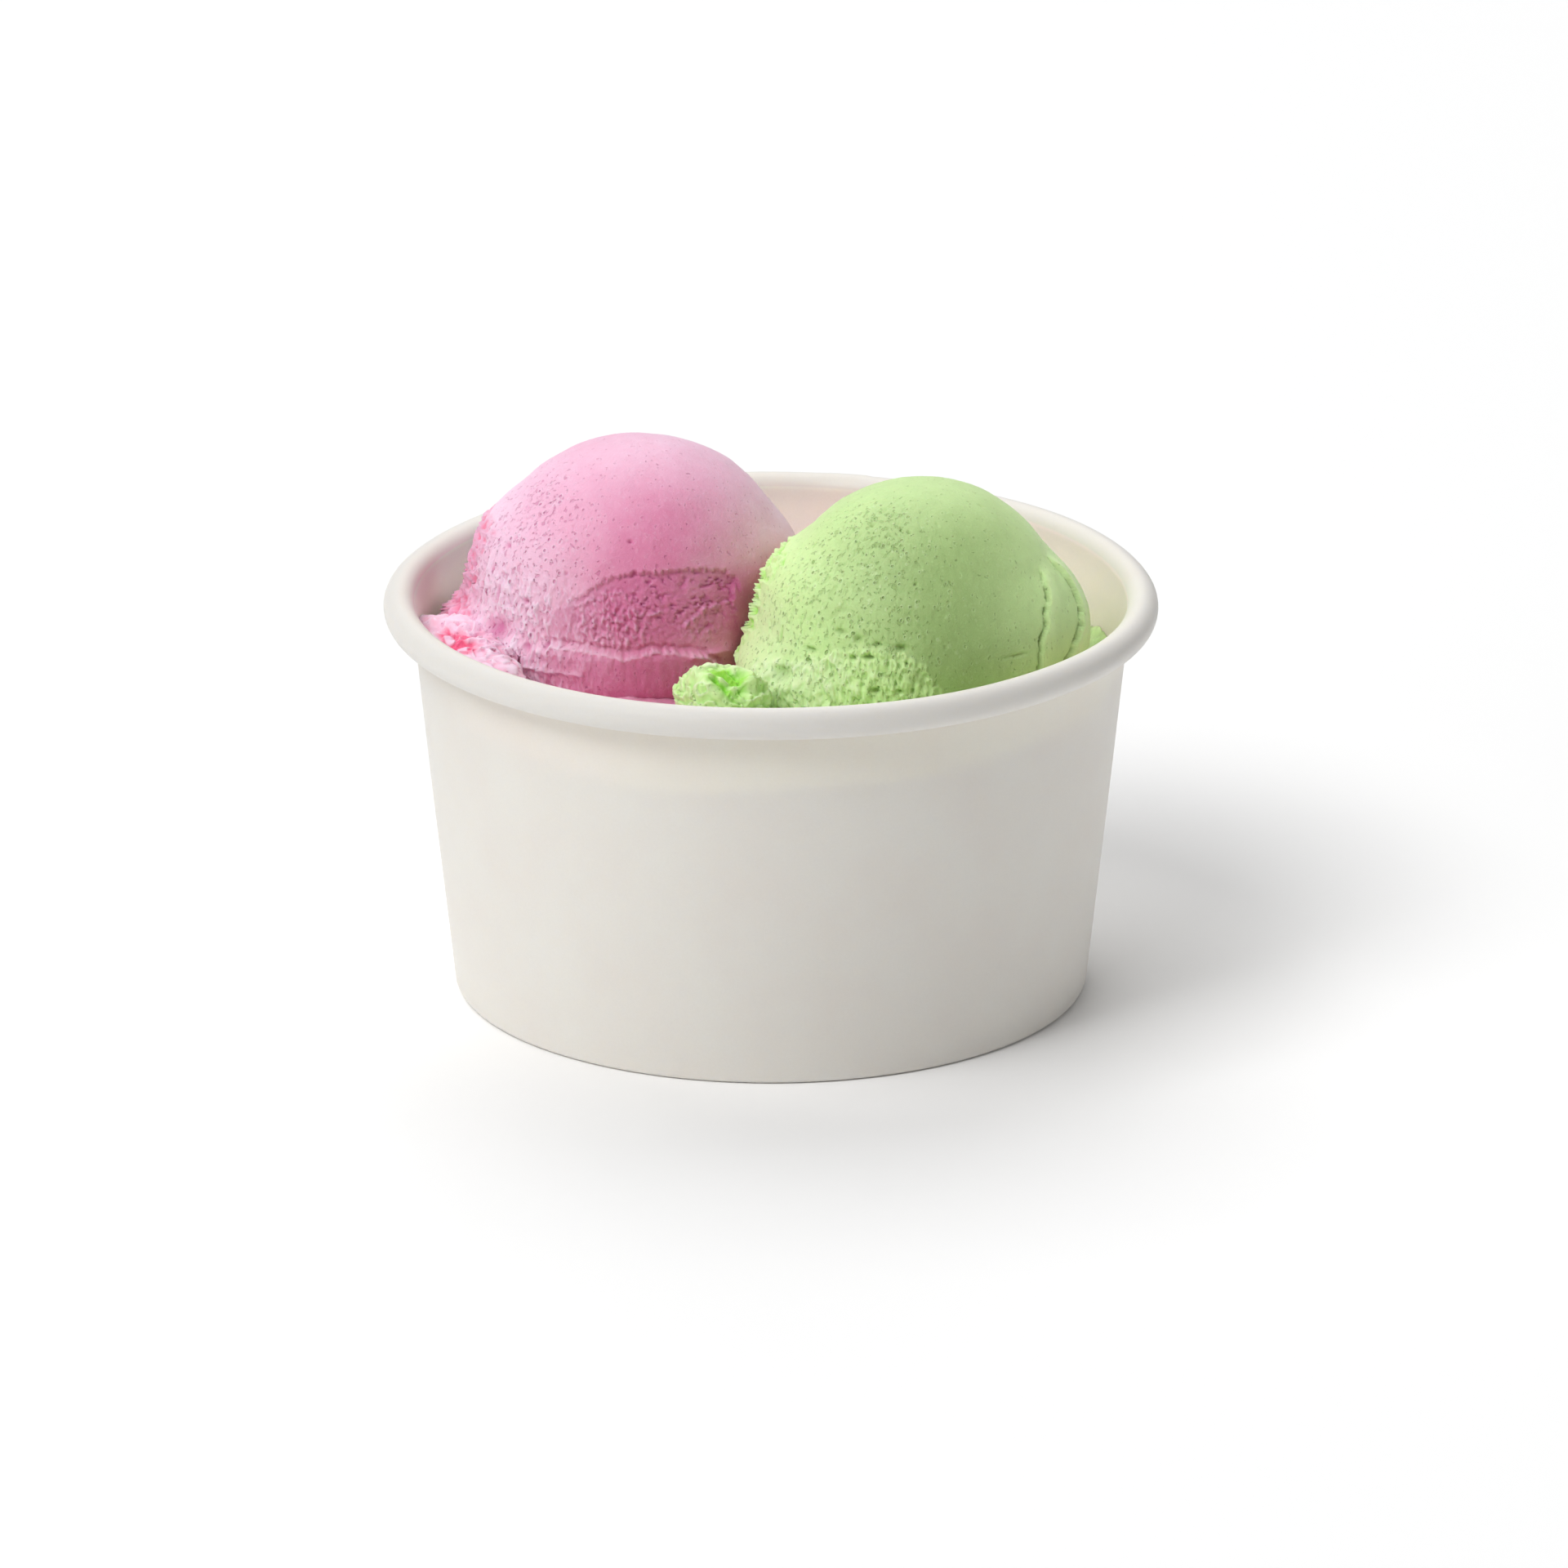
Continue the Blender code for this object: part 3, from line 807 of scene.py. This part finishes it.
def strawberry_relief(a, e, way):
    """The strawberry scoop: porous on the left, scraped at the front, frayed round its lower edge."""
    place = way * STRAWBERRY["radius"]
    pores = ease(e, 74, 40) * hump(a, -150, 38)
    pores = np.maximum(pores, 0.15 + 0.3 * hump(a, 110, 40) * ease(e, 70, 40))
    crust = hump(a, -136, 26) * ease(e, 26, 4) * ease(a, -170, -160)
    crust = np.maximum(crust, 0.8 * hump(a, 90, 30) * ease(e, 8, -6))
    ragged_top = 29 + 4 * drift(place, 3.0, 44)
    fringe = ease(np.abs(turned_away(a, 181)) + 8 * drift(place, 1.8, 45, 3), 19, 9)
    fringe = fringe * ease(e, ragged_top + 3, ragged_top - 1)
    height, hollow, crest = scoop_skin(place, 20, pores * (1 - 0.8 * fringe), 1.35 * crust, 0.6)
    # Painted light: the scoop is paler away from its front and deeper at its front.
    frost_and_light = painted_light_paleness(way, place, -84, 30, 41, 44, 30)

    # The fringe: a torn rind behind the left side; the hollows between its shelves are painted coral, as
    # painted light shining through the gelato in their shade.
    shelves = teeth(a, e, place, 1.25, 41)
    rags = drift(place, 1.3, 42, 3)
    swelling = 0.5 + 0.5 * ease(e, 30, 5) + 0.8 * ease(e, 8, -8)
    height = height + fringe * (0.95 * shelves + 0.35 * rags) * swelling
    torn = 0.65 * fringe * ease(0.7 * shelves + 0.3 * rags, 0.18, -0.05)
    # Less pale on the torn rind; painted shade right of the scrape, beside the pistachio scoop.
    frost_and_light = frost_and_light - 0.4 * fringe - 0.35 * ease(a, -72, -52) * ease(e, 30, 14)

    # The scrape: a shallow recess under a sharp brow, with flat tears at its upper right.
    path = [(-118, 12), (-109, 18), (-102, 23), (-92, 26), (-80, 26), (-67, 26)]
    path += [(-54, 24), (-50, 20), (-53, 13), (-52, 4)]
    ragged_brow = 0.36 * drift(place, 0.55, 51, 2)
    brow = stroke(a, e, path) + ragged_brow
    inside = ease(brow, 0.12, -0.28) * ease(e, -3, 5) * ease(np.abs(turned_away(a, -84)), 44, 34)
    tears = sharp_folds(place * (0.55, 0.55, 1.9), 0.85, 52, 1)
    slits = ease(tears, 0.52, 0.85) * ease(a, -100, -88) * ease(e, 5, 11)
    slits = slits * ease(drift(place, 1.3, 56), -0.15, 0.2)
    depth = (0.22 + 0.24 * ease(e, 0, 22)) * ease(a, -122, -104)
    wrinkles = drift(place * (0.7, 0.7, 1.9), 0.6, 59, 2) * ease(a, -104, -90)
    height = height * (1 - 0.75 * inside) - inside * (depth + 0.32 * slits + 0.09 * wrinkles)
    # Painted shade: the recess, its slits and wrinkles are deeper in colour, and a line just under the
    # brow darker still.
    hollow = hollow * (1 - inside) + inside * (0.36 + 0.4 * slits + 0.2 * wrinkles)
    height = height + 0.05 * ease(np.abs(brow - 0.2), 0.3, 0.0) * ease(e, 6, 14)
    hollow = hollow + 0.16 * ease(np.abs(brow + 0.15), 0.22, 0.0) * inside
    # Painted shade: deeper colour right of the scrape, beside the pistachio scoop.
    hollow = hollow + 0.7 * ease(a, -60, -48) * ease(e, 28, 14) * ease(a, 0, -20)

    # Crumbs pulled up at the lower left of the scrape, and a few at its right.
    crumbly = np.clip(1.8 * spot(a, e, -100, 7, 4.6, 3.0) + 0.6 * spot(a, e, -67, 4, 3.0, 1.3), 0, 1)
    crumbs = drift(place * (1.1, 1.1, 0.9), 0.62, 54, 3)
    chips = dents(place, 0.8, 55, 0.12, 0.46)
    height = height + crumbly * (0.38 * crumbs + 0.12 - 0.35 * chips)
    # Painted shade: the chips among the crumbs are deeper.
    hollow = hollow + crumbly * 0.35 * chips
    crest = crest + 0.7 * crumbly * ease(crumbs, 0.05, 0.7)

    # Curls of gelato that the scraper left, each a thin crisp-edged flake.
    for path, tall, wide in [
        ([(-102, 18), (-101, 15), (-101, 13), (-98, 11)], 0.5, 0.30),
        ([(-100, 18), (-96, 19), (-94, 17), (-92, 14), (-90, 11), (-86, 8)], 0.5, 0.42),
        ([(-113, 13), (-109, 14), (-106, 16), (-103, 16)], 0.4, 0.40),
        ([(-86, 11), (-84, 11), (-81, 12)], 0.35, 0.35),
        ([(-74, 6), (-70, 8), (-67, 10), (-65, 12)], 0.4, 0.9),
        ([(-65, 12), (-63, 11), (-61, 12), (-57, 12), (-54, 13)], 0.45, 0.7),
        ([(-105, 1), (-101, 4), (-97, 8)], 0.35, 0.3),
        ([(-99, 9), (-95, 9), (-94, 6), (-95, 2)], 0.3, 0.3),
    ]:
        line = stroke(a, e, path) + 0.3 * drift(place, 0.6, 57, 2)
        broken = np.clip(0.75 + 1.6 * drift(place, 0.8, 58, 2), 0.05, 1.4)
        height = height + flake(line, 0.7 * tall, 0.85 * wide) * broken
        height = height - 0.12 * ease(np.abs(line - 0.4), 0.3, 0.0) * inside
        crest = np.maximum(crest, 0.4 * broken * ease(line, -0.3, -0.05) * ease(line, 0.2, 0.05))

    # The lower band stands proud, and a frayed lip runs along its top.
    path = [(-124, -2), (-116, -2), (-106, -2), (-94, -4)]
    path += [(-85, -2), (-74, -3), (-66, -5), (-62, -8)]
    fray = drift(place * (1.0, 1.0, 0.3), 0.55, 61, 2)
    line = stroke(a, e, path) + 0.12 * drift(place, 1.1, 60, 2) - 0.25 * fray * ease(a, -112, -98)
    front = ease(a, -127, -121) * ease(a, -52, -60)
    lip = ease(line, -0.42, -0.08) * ease(line, 0.2, 0.02) * front * np.clip(0.8 + 0.8 * fray, 0.1, 1.3)
    height = height + front * 0.45 * ease(line, 0.2, -0.1) * ease(e, -26, -14) + 0.3 * lip
    height = height - front * 0.3 * ease(np.abs(line - 0.55), 0.45, 0.0)
    crest = np.maximum(crest, 0.45 * lip)
    # Painted shade: deeper under the lip and along the band below it.
    hollow = hollow + front * (0.34 * ease(line, 0.0, -0.6) + 0.2 * ease(np.abs(line - 0.5), 0.5, 0.0))
    ribs = drift(place * (1.6, 1.6, 0.25), 1.1, 63, 2)
    height = height + front * 0.08 * ribs * ease(line, -0.3, -0.8)
    line = stroke(a, e, [(-131, -10), (-122, -10), (-116, -10), (-109, -10)]) + 0.15 * rags
    height = height + flake(line, 0.3, 0.45)
    crest = np.maximum(crest, 0.5 * ease(line, -0.35, 0.0) * ease(line, 0.2, 0.05))
    line = stroke(a, e, [(-71, -4), (-64, -4), (-59, -4), (-52, -6)])
    height = height + flake(line, 0.4, 1.0)

    # Single marks: the big hollow low on the left, a slit, and a few round holes.
    marks = [
        (-145, -2, 2.3, 1.9, 0.8),
        (-130, -4, 0.8, 0.6, 0.8),
        (-133, 11, 0.45, 0.38, 0.9),
        (-147, 10, 0.22, 1.1, 0.7),
        (-153, 17, 0.2, 0.8, 0.4),
        (-149, 27, 0.5, 0.35, 0.5),
        (-167, 14, 0.5, 0.4, 0.6),
        (-166, 8, 0.5, 0.35, 0.6),
        (-165, 4, 0.6, 0.4, 0.6),
        (-93, 37, 0.32, 0.2, 0.5),
        (-64, 5, 0.55, 0.35, 0.5),
        (-50, 18, 0.35, 1.0, 0.5),
        (-53, 14, 0.3, 0.5, 0.5),
        (-122, -2, 0.4, 0.3, 0.5),
    ]
    height, hollow, whole = dig(a, e, marks, height, hollow, 1.0, 0.9)
    crest = crest * whole
    # Painted light: paler low on the left, the side that faces the lamps; paler at the back left too.
    extra_pale = 0.2 * hump(a, -152, 30) * ease(e, 30, 6)
    extra_pale = extra_pale + 0.3 * ease(np.abs(turned_away(a, 130)), 46, 30) * ease(e, 50, 20)
    # Paler on crests, partly icy and partly painted highlight.
    frost_and_light = np.clip(frost_and_light + 0.7 * crest + extra_pale, 0, 2)
    pores = np.clip(0.15 + 1.1 * pores, 0, 1) * (1 - 0.8 * fringe) * (1 - 0.7 * inside)
    tints = {"hollow": np.clip(hollow, 0, 1), "frost_and_light": frost_and_light, "torn": np.clip(torn, 0, 1), "pores": pores}
    return height, tints


def pistachio_relief(a, e, way):
    """The pistachio scoop: porous on the left, torn low at the front, pleated on the right."""
    place = way * PISTACHIO["radius"]
    pores = ease(e, 84, 58) * hump(a, -128, 44)
    pores = np.maximum(pores, 0.15 + 0.3 * hump(a, 80, 45) * ease(e, 70, 40))
    path = [(-165, -9), (-152, -4), (-143, -2), (-132, 1), (-120, 6), (-109, 8)]
    path += [(-97, 8), (-88, 1), (-82, -8)]
    under = stroke(a, e, path) + 0.7 * drift(place, 1.6, 73, 2)
    crust = ease(under, 0.5, -0.5) * ease(a, -180, -172) * ease(a, -76, -86)
    crust = np.maximum(crust, 0.8 * hump(a, 60, 34) * ease(e, 8, -6))
    ragged_top = 28 + 4 * drift(place, 3.0, 94)
    fringe = ease(np.abs(turned_away(a, 174)) + 8 * drift(place, 1.8, 95, 3), 19, 9)
    fringe = fringe * ease(e, ragged_top + 3, ragged_top - 1)
    height, hollow, crest = scoop_skin(place, 70, pores * (1 - 0.8 * fringe), 0.9 * crust, 0.65)
    # Painted light: the scoop is paler away from its front and deeper at its front.
    frost_and_light = painted_light_paleness(way, place, -80, 36, 42, 38, 80)

    # The fringe: torn shelves behind the left side; the hollows between them are painted bright, as
    # painted light shining through the gelato in their shade.
    shelves = teeth(a, e, place, 1.5, 91)
    rags = drift(place, 1.4, 93, 3)
    height = height + fringe * (1.25 * shelves + 0.2 * rags - 0.2)
    torn = 0.85 * fringe * ease(0.75 * shelves + 0.25 * rags, 0.16, -0.02)
    pockets = dents(place, 1.9, 92, 0.2, 0.5) * hump(a, -177, 8) * ease(e, 26, 18)
    height = height - 0.6 * pockets
    # Painted light: the pockets glow too.
    torn = torn + pockets

    # The torn part stands a little proud under its ledge, in chunky folds.
    ledge = ease(np.abs(under + 0.2), 0.7, 0.0) * ease(a, -160, -150) * ease(a, -84, -94)
    height = height + crust * (0.2 + 0.4 * drift(place, 2.6, 74, 2)) + 0.15 * ledge

    # Single marks: deep tears along the ledge, a slit, and a few round holes.
    marks = [
        (-144, -6, 1.4, 1.1, 1.3),
        (-134, 4, 1.0, 0.35, 0.9),
        (-123, 13, 0.8, 0.35, 0.7),
        (-115, 11, 0.7, 0.6, 0.7),
        (-116, 4, 0.5, 0.45, 1.0),
        (-110, 5, 1.1, 0.35, 1.0),
        (-98, 9, 1.0, 0.55, 1.1),
        (-107, 10, 0.5, 0.35, 0.8),
        (-134, 0, 0.7, 0.35, 0.8),
        (-107, -7, 0.7, 0.45, 0.9),
        (-98, -7, 0.5, 0.4, 0.7),
        (-150, 5, 0.22, 1.1, 0.9),
        (-160, 40, 0.15, 0.55, 0.35),
        (-93, 34, 0.3, 0.22, 0.5),
        (-99, 56, 0.26, 0.2, 0.4),
        (-78, 60, 0.26, 0.2, 0.4),
        (-53, 3, 2.2, 0.2, 0.3),
    ]
    height, hollow, _ = dig(a, e, marks, height, hollow, 0.8, 0.65)

    # Layers laid over each other down the right side, each with a crisp edge.
    for path, tall in [
        ([(-23, 31), (-27, 24), (-31, 19), (-36, 14), (-37, 11), (-41, 7), (-43, -4)], 0.38),
        ([(-6, 34), (-8, 27), (-9, 20), (-12, 13), (-17, 8), (-22, 3), (-28, -4)], 0.6),
    ]:
        line = stroke(a, e, path) + 0.25 * drift(place, 2.4, 75, 2) + 0.22 * drift(place, 0.7, 76, 2)
        fade = ease(e, 32, 24) * ease(e, -12, -2)
        worn = np.clip(0.7 + 1.2 * drift(place, 1.2, 77, 2), 0, 1.3)
        height = height + tall * ease(line, -0.05, 0.12) * ease(line, 4.0, 0.4) * fade
        # Painted shade in the gap under each layer's edge, and a painted highlight on the layer just over
        # it.
        gap = ease(np.abs(line + 0.1), 0.3, 0.05) * fade * worn
        height = height - 0.3 * gap
        hollow = hollow + 0.7 * gap
        frost_and_light = frost_and_light + 0.35 * ease(line, 0.1, 0.6) * ease(line, 2.6, 0.6) * fade
    # Painted light: paler low on the left, the side that faces the lamps.
    extra_pale = 0.3 * hump(a, -150, 34) * ease(e, 24, 4)
    # Paler on crests and on the crust, partly icy and partly painted highlight.
    frost_and_light = np.clip(frost_and_light + 0.4 * crest + 0.4 * crust + extra_pale, 0, 2)
    pores = np.clip(0.15 + 1.1 * pores, 0, 1) * (1 - 0.8 * fringe)
    tints = {"hollow": np.clip(hollow, 0, 1), "frost_and_light": frost_and_light, "torn": np.clip(torn, 0, 1), "pores": pores}
    return height, tints


def make_spill(name, scoop, material, centre, half, turn, seed, glow, rough=1.0, rows=150, columns=230):
    """Gelato squeezed out beside a scoop: a boxy egg with lumps, crisp ledges, dents and torn hollows.

    Its radius in each direction is (|x/a|^n + |y/b|^n + |z/c|^n)^(-1/n), with a, b and c its half sizes,
    plus relief times rough. glow is where along and across it, from -1 to 1, its torn hollow is, and
    how large. It is turned about an upright axis.
    """
    boxy = 3.4
    e, way = sphere_grid(rows, columns)
    radius = (np.abs(way / np.array(half)) ** boxy).sum(-1) ** (-1 / boxy)
    place = way * radius[..., None]
    lumps = drift(place, 4.2, seed, 3)
    ledges = place[..., 2] / 1.9 + 1.1 * drift(place, 3.0, seed + 1, 2)
    rise = (ledges - np.floor(ledges)) ** 1.6
    fine = drift(place, 1.1, seed + 4, 3)
    chips = dents(place, 1.3, seed + 2, 0.12, 0.46)
    off = np.hypot(place[..., 0] / half[0] - glow[0], place[..., 1] / half[1] - glow[1])
    deep = ease(off, glow[2], 0.5 * glow[2]) * ease(drift(place, 2.0, seed + 3, 2), -0.6, -0.1)
    folds = sharp_folds(place, 2.6, seed + 5, 2)
    height = 0.9 * lumps + 0.45 * (rise - 0.4) + 0.35 * (folds - 0.45)
    height = height + 0.12 * fine - 0.25 * chips - 0.4 * deep
    height = rough * height * ease(90 - np.abs(e), 0, 12)
    points = place + way * height[..., None]
    points[0] = points[0, :1]
    points[-1] = points[-1, :1]
    c, s = math.cos(math.radians(turn)), math.sin(math.radians(turn))
    x, y, z = np.moveaxis(points, -1, 0)
    points = in_cup(np.stack([x * c - y * s, x * s + y * c, z], -1) + np.array(centre))
    # Paler toward each ledge's top and on the lumps.
    frost_and_light = np.clip(0.85 + 0.7 * ease(rise + 0.6 * fine, 0.5, 1.2) + 0.3 * lumps, 0, 2)
    # Painted light: the torn hollow and the low part of each ledge glow, for light shining through the
    # gelato.
    torn = np.clip(1.1 * deep + 0.25 * ease(rise, 0.25, 0.0), 0, 1)
    # Painted shade: the chips are deeper.
    tints = {"hollow": 0.6 * chips, "frost_and_light": frost_and_light, "torn": torn, "pores": 0.5 + 0 * frost_and_light}
    new_gelato(name, scoop, points, material, tints)


def make_gelato(strawberry, pistachio):
    """For each flavour its filling, its scoop, and what was squeezed out beside the scoop."""
    make_bed("strawberry_filling", STRAWBERRY, strawberry, 110, [(-38, -3, 4.0, 10, 6, 100)])
    flares = [
        (180, 57, 46, 22, 1.3),
        (180, 40, 5, -8, 2.2),
        (0, 40, 36, 18, 0.8),
        (-95, 46, -1, -5, 0.7),
        (-150, 28, 0, -10, 1.0),
    ]
    make_scoop("strawberry_scoop", STRAWBERRY, strawberry, flares, strawberry_relief)
    centre, half, glow = (-37.6, -6.4, 41.6), (13.5, 5.3, 5.0), (-0.08, 0.25, 0.46)
    make_spill("strawberry_spill", STRAWBERRY, strawberry, centre, half, 108, 130, glow)

    swells = [(-5.5, -23.5, 4.0, 6, 4, 25), (40, -9, 2.3, 6, 4, 80)]
    make_bed("pistachio_filling", PISTACHIO, pistachio, 210, swells)
    flares = [
        (180, 57, 42, 16, 2.2),
        (180, 46, 6, -10, 2.3),
        (0, 46, 33, 10, 2.0),
        (-95, 52, 20, -5, 0.9),
        (-8, 34, 16, 2, 0.8),
        (-152, 26, 0, -14, 1.6),
    ]
    make_scoop("pistachio_scoop", PISTACHIO, pistachio, flares, pistachio_relief)
    centre, half, glow = (-6.0, -23.6, 42.2), (5.1, 5.2, 5.8), (-0.05, -0.45, 0.62)
    make_spill("pistachio_spill", PISTACHIO, pistachio, centre, half, 25, 230, glow)
    centre, half, glow = (39.5, -9.5, 40.2), (6.5, 3.3, 2.6), (0, 0, 0.01)
    make_spill("pistachio_flap", PISTACHIO, pistachio, centre, half, 80, 250, glow, 0.3, 90, 140)


# Floor, lights and camera


def make_floor():
    """A plain white sheet that runs far past the view."""
    finish = Finish("pale_sheet")
    finish.shade(Base_Color=linear("FBFBFB"), Roughness=0.9, Specular_IOR_Level=0.0)
    mesh = bpy.data.meshes.new("pale_sheet")
    half = 8.0
    corners = [(-half, -half, 0), (half, -half, 0), (half, half, 0), (-half, half, 0)]
    mesh.from_pydata(corners, [], [(0, 1, 2, 3)])
    mesh.materials.append(finish.material)
    floor = bpy.data.objects.new("pale_sheet", mesh)
    floor.location.z = -0.00002
    bpy.context.scene.collection.objects.link(floor)


def make_light(name, azimuth, elevation, size, power):
    """A square soft light four metres off, that looks at the scoops from an azimuth and an elevation."""
    target, distance = Vector((0, 0, 0.045)), 4.0
    way = Vector(direction(azimuth, elevation))
    data = bpy.data.lights.new(name, "AREA")
    data.size = size
    data.energy = power
    light = bpy.data.objects.new(name, data)
    light.location = target + way * distance
    light.rotation_euler = way.to_track_quat("Z", "Y").to_euler()
    bpy.context.scene.collection.objects.link(light)


def make_lights():
    """A faint white surround, windows from the left and behind, and glows from the table and walls."""
    world = bpy.data.worlds.new("soft_surround")
    world.use_nodes = True
    background = world.node_tree.nodes["Background"]
    background.inputs["Color"].default_value = (1.0, 1.0, 1.0, 1.0)
    background.inputs["Strength"].default_value = 0.02
    bpy.context.scene.world = world
    make_light("window_left", -145, 55, 2.25, 73)
    make_light("window_middle", -138, 42, 1.0, 13)
    make_light("window_front", -119, 46, 1.5, 26)
    make_light("table_glow_left", -150, 8, 2.5, 27)
    make_light("table_glow_right", -45, 10, 2.5, 7)
    make_light("skylight", 110, 60, 3.0, 70)
    make_light("window_back", 60, 45, 3.0, 15)
    make_light("wall_back", 90, 30, 3.0, 28)
    make_light("wall_right", 0, 20, 3.0, 22)


def make_camera():
    """A long lens from the front, looking down about 19 degrees, taking in the cup and its shadow."""
    data = bpy.data.cameras.new("camera")
    data.sensor_width = 36.0
    data.lens = 324.6
    data.clip_end = 20.0
    camera = bpy.data.objects.new("camera", data)
    down, turn = 19.336, -0.056
    camera.location = (0.0, -1.6549, 0.60577)
    camera.rotation_euler = (math.radians(90 - down), 0.0, math.radians(turn))
    bpy.context.scene.collection.objects.link(camera)
    bpy.context.scene.camera = camera


def main():
    """The dressed part in its scene."""
    bpy.context.scene.view_settings.view_transform = "Standard"
    paper = paper_finish()
    strawberry = gelato_finish("strawberry_gelato", "E689B1", "FFD8EE", "FFEAF9", "CB4F93", "F6638E")
    pistachio = gelato_finish("pistachio_gelato", "A1BE79", "DAF9AF", "EEFFD2", "84A350", "A0E650")
    make_cup(paper)
    make_gelato(strawberry, pistachio)
    make_floor()
    make_lights()
    make_camera()


main()
